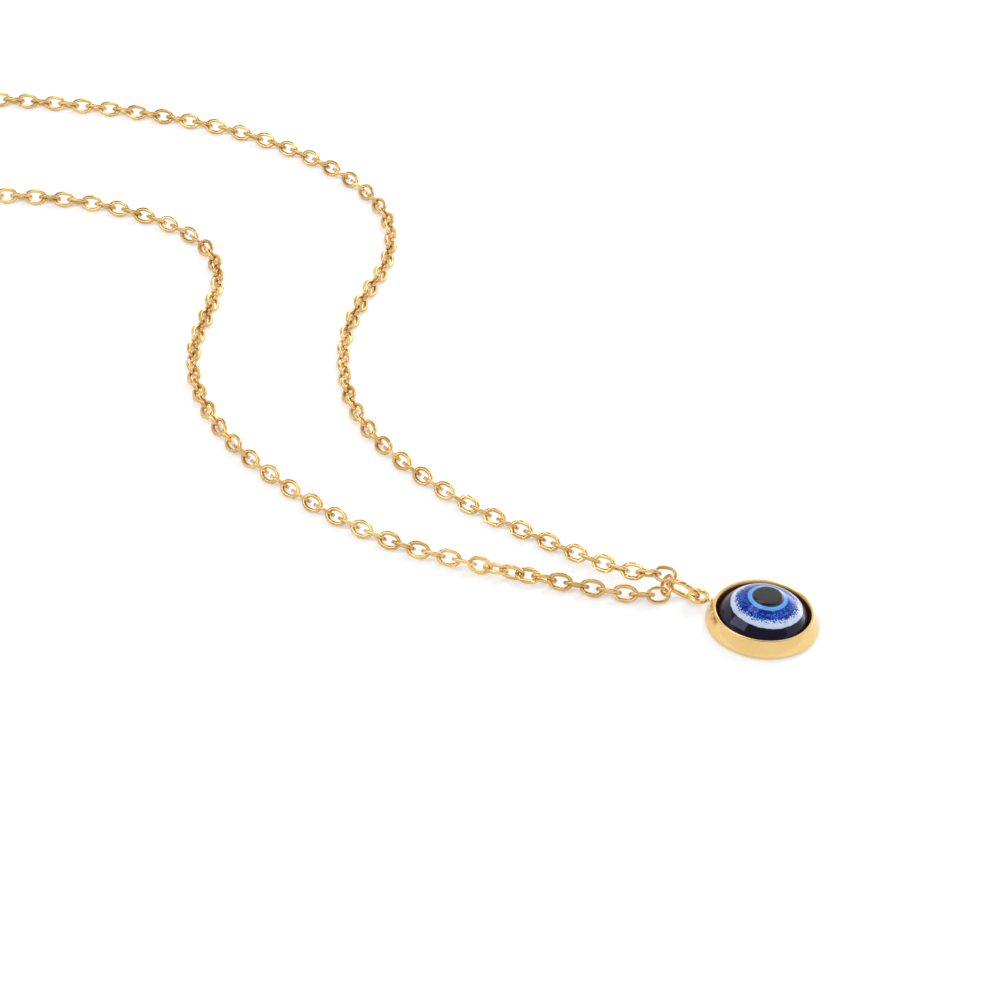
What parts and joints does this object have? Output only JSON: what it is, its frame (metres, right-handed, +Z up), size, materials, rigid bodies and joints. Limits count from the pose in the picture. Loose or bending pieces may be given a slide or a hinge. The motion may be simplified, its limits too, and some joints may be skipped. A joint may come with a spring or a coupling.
{
  "type": "evil eye pendant necklace",
  "caption": "Round domed glass eye charm in a metal cup, hung by a jump ring on a fine oval-link cable chain with a ring clasp, lying flat.",
  "frame": {"origin": "middle of the setting's flat back, which lies on the table", "axes": "+Z up out of the eye's front, +X from the clasp's end of the loop towards the pendant, +Y across the loop"},
  "size_m": [0.1775, 0.1146, 0.0044],
  "materials": {
    "gold_setting": "polished gold plate",
    "gold_findings": "polished gold plate",
    "gold_chain": "polished gold plate",
    "navy_glass": "glossy opaque glass",
    "white_glass": "glossy opaque glass",
    "cobalt_glass": "glossy speckled glass",
    "pale_blue_glass": "glossy opaque glass",
    "black_glass": "glossy opaque glass"
  },
  "bodies": {
    "root": {"setting": "gold_setting", "glass_base": "navy_glass", "white_ring": "white_glass", "cobalt_ring": "cobalt_glass", "pale_ring": "pale_blue_glass", "pupil": "black_glass", "jump_ring": "gold_findings", "far_chain": "gold_chain", "near_chain": "gold_chain", "clasp": "gold_findings", "end_ring": "gold_findings"}
  },
  "joints": []
}
